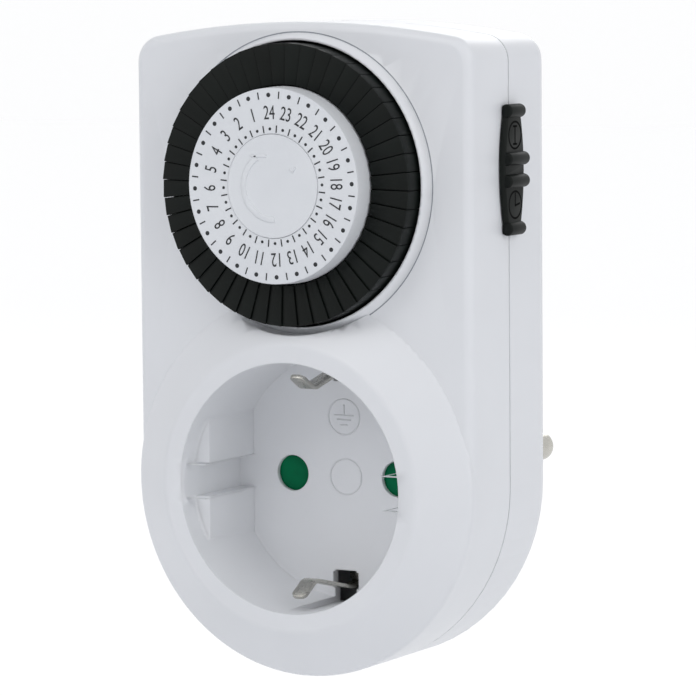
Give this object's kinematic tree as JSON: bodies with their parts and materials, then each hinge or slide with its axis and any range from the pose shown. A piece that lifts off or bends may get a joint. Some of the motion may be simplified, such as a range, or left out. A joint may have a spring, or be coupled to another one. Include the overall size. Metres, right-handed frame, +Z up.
{
  "type": "plug in timer switch",
  "caption": "Plug-in 24 hour mains timer: socket with earth clips in front, plug behind, dial of push-in tappets, gear train and contacts inside, and a slider on the side.",
  "frame": {"origin": "centre of the plug's end face, on the axis that plug and socket share", "axes": "+Z up along the wall, +Y into the wall socket, +X to the right seen from the front"},
  "size_m": [0.0623, 0.072, 0.1013],
  "materials": {
    "housing": "satin moulded",
    "dial_white": "fine matt",
    "black": "satin moulded",
    "gear_plastic": "moulded",
    "shutter_green": "moulded",
    "steel": "zinc plated",
    "nickel": "nickel plated",
    "brass": "rolled"
  },
  "bodies": {
    "housing": {"front_housing": "housing", "rear_housing": "housing", "housing_screws": "steel", "dial_screw": "steel", "mechanism_plate": "gear_plastic", "motor_can": "steel", "lever_pin": "steel", "fixed_contact": "brass", "shutter_spring": "steel", "front_earth_clips": "nickel", "rear_earth_contacts": "nickel", "earth_rivet": "nickel", "earth_sleeve": "nickel", "live_pin": "nickel", "neutral_pin": "nickel", "live_contact": "brass", "neutral_contact": "brass"},
    "dial": {"dial_wheel": "black", "dial_face": "dial_white", "dial_cap": "dial_white"},
    "drive_gear": {"drive_gear": "gear_plastic"},
    "motor_pinion": {"motor_pinion": "gear_plastic"},
    "tracer_lever": {"tracer_lever": "gear_plastic"},
    "switch_blade": {"switch_blade": "brass"},
    "mode_slider": {"mode_slider": "black"},
    "shutter": {"shutter": "shutter_green"},
    "tappets_01": {"tappets_01": "black"},
    "tappets_02": {"tappets_02": "black"},
    "tappets_03": {"tappets_03": "black"},
    "tappets_04": {"tappets_04": "black"},
    "tappets_05": {"tappets_05": "black"},
    "tappets_06": {"tappets_06": "black"},
    "tappets_07": {"tappets_07": "black"},
    "tappets_08": {"tappets_08": "black"},
    "tappets_09": {"tappets_09": "black"},
    "tappets_10": {"tappets_10": "black"},
    "tappets_11": {"tappets_11": "black"},
    "tappets_12": {"tappets_12": "black"},
    "tappets_13": {"tappets_13": "black"},
    "tappets_14": {"tappets_14": "black"},
    "tappets_15": {"tappets_15": "black"},
    "tappets_16": {"tappets_16": "black"},
    "tappets_17": {"tappets_17": "black"},
    "tappets_18": {"tappets_18": "black"},
    "tappets_19": {"tappets_19": "black"},
    "tappets_20": {"tappets_20": "black"},
    "tappets_21": {"tappets_21": "black"},
    "tappets_22": {"tappets_22": "black"},
    "tappets_23": {"tappets_23": "black"},
    "tappets_24": {"tappets_24": "black"}
  },
  "joints": [
    {"name": "dial_turn", "type": "hinge", "parent": "housing", "child": "dial", "pos_m": [0, -0.04, 0.0467], "axis": [0, 1, 0], "continuous": true},
    {"name": "drive_gear_turn", "type": "hinge", "parent": "housing", "child": "drive_gear", "pos_m": [-0.01273, -0.0335, 0.03397], "axis": [0, 1, 0], "continuous": true},
    {"name": "motor_pinion_turn", "type": "hinge", "parent": "housing", "child": "motor_pinion", "pos_m": [-0.00962, -0.0335, 0.04556], "axis": [0, 1, 0], "continuous": true},
    {"name": "tracer_lever_tilt", "type": "hinge", "parent": "housing", "child": "tracer_lever", "pos_m": [0.0181, -0.03745, 0.03], "axis": [-1, 0, 0], "range_deg": [0, 6]},
    {"name": "switch_blade_flex", "type": "hinge", "parent": "housing", "child": "switch_blade", "pos_m": [0.0181, -0.0356, 0.0256], "axis": [-1, 0, 0], "range_deg": [0, 4.5]},
    {"name": "mode_slider_slide", "type": "slide", "parent": "housing", "child": "mode_slider", "axis": [0, 0, 1], "range_m": [0, 0.003]},
    {"name": "shutter_slide", "type": "slide", "parent": "housing", "child": "shutter", "axis": [1, 0, 0], "range_m": [0, 0.006], "stiffness_N_per_m": 60, "springref_m": -0.004, "deforming": ["shutter_spring"]},
    {"name": "tappets_01_press", "type": "slide", "parent": "dial", "child": "tappets_01", "axis": [0, 1, 0], "range_m": [0, 0.002]},
    {"name": "tappets_02_press", "type": "slide", "parent": "dial", "child": "tappets_02", "axis": [0, 1, 0], "range_m": [0, 0.002]},
    {"name": "tappets_03_press", "type": "slide", "parent": "dial", "child": "tappets_03", "axis": [0, 1, 0], "range_m": [0, 0.002]},
    {"name": "tappets_04_press", "type": "slide", "parent": "dial", "child": "tappets_04", "axis": [0, 1, 0], "range_m": [0, 0.002]},
    {"name": "tappets_05_press", "type": "slide", "parent": "dial", "child": "tappets_05", "axis": [0, 1, 0], "range_m": [0, 0.002]},
    {"name": "tappets_06_press", "type": "slide", "parent": "dial", "child": "tappets_06", "axis": [0, 1, 0], "range_m": [0, 0.002]},
    {"name": "tappets_07_press", "type": "slide", "parent": "dial", "child": "tappets_07", "axis": [0, 1, 0], "range_m": [0, 0.002]},
    {"name": "tappets_08_press", "type": "slide", "parent": "dial", "child": "tappets_08", "axis": [0, 1, 0], "range_m": [0, 0.002]},
    {"name": "tappets_09_press", "type": "slide", "parent": "dial", "child": "tappets_09", "axis": [0, 1, 0], "range_m": [0, 0.002]},
    {"name": "tappets_10_press", "type": "slide", "parent": "dial", "child": "tappets_10", "axis": [0, 1, 0], "range_m": [0, 0.002]},
    {"name": "tappets_11_press", "type": "slide", "parent": "dial", "child": "tappets_11", "axis": [0, 1, 0], "range_m": [0, 0.002]},
    {"name": "tappets_12_press", "type": "slide", "parent": "dial", "child": "tappets_12", "axis": [0, 1, 0], "range_m": [0, 0.002]},
    {"name": "tappets_13_press", "type": "slide", "parent": "dial", "child": "tappets_13", "axis": [0, 1, 0], "range_m": [0, 0.002]},
    {"name": "tappets_14_press", "type": "slide", "parent": "dial", "child": "tappets_14", "axis": [0, 1, 0], "range_m": [0, 0.002]},
    {"name": "tappets_15_press", "type": "slide", "parent": "dial", "child": "tappets_15", "axis": [0, 1, 0], "range_m": [0, 0.002]},
    {"name": "tappets_16_press", "type": "slide", "parent": "dial", "child": "tappets_16", "axis": [0, 1, 0], "range_m": [0, 0.002]},
    {"name": "tappets_17_press", "type": "slide", "parent": "dial", "child": "tappets_17", "axis": [0, 1, 0], "range_m": [0, 0.002]},
    {"name": "tappets_18_press", "type": "slide", "parent": "dial", "child": "tappets_18", "axis": [0, 1, 0], "range_m": [0, 0.002]},
    {"name": "tappets_19_press", "type": "slide", "parent": "dial", "child": "tappets_19", "axis": [0, 1, 0], "range_m": [0, 0.002]},
    {"name": "tappets_20_press", "type": "slide", "parent": "dial", "child": "tappets_20", "axis": [0, 1, 0], "range_m": [0, 0.002]},
    {"name": "tappets_21_press", "type": "slide", "parent": "dial", "child": "tappets_21", "axis": [0, 1, 0], "range_m": [0, 0.002]},
    {"name": "tappets_22_press", "type": "slide", "parent": "dial", "child": "tappets_22", "axis": [0, 1, 0], "range_m": [0, 0.002]},
    {"name": "tappets_23_press", "type": "slide", "parent": "dial", "child": "tappets_23", "axis": [0, 1, 0], "range_m": [0, 0.002]},
    {"name": "tappets_24_press", "type": "slide", "parent": "dial", "child": "tappets_24", "axis": [0, 1, 0], "range_m": [0, 0.002]}
  ],
  "couplings": [
    {"joint": "drive_gear_turn", "follows": "dial_turn", "ratio": -5},
    {"joint": "motor_pinion_turn", "follows": "dial_turn", "ratio": 20},
    {"joint": "switch_blade_flex", "follows": "tracer_lever_tilt", "ratio": 0.7}
  ]
}
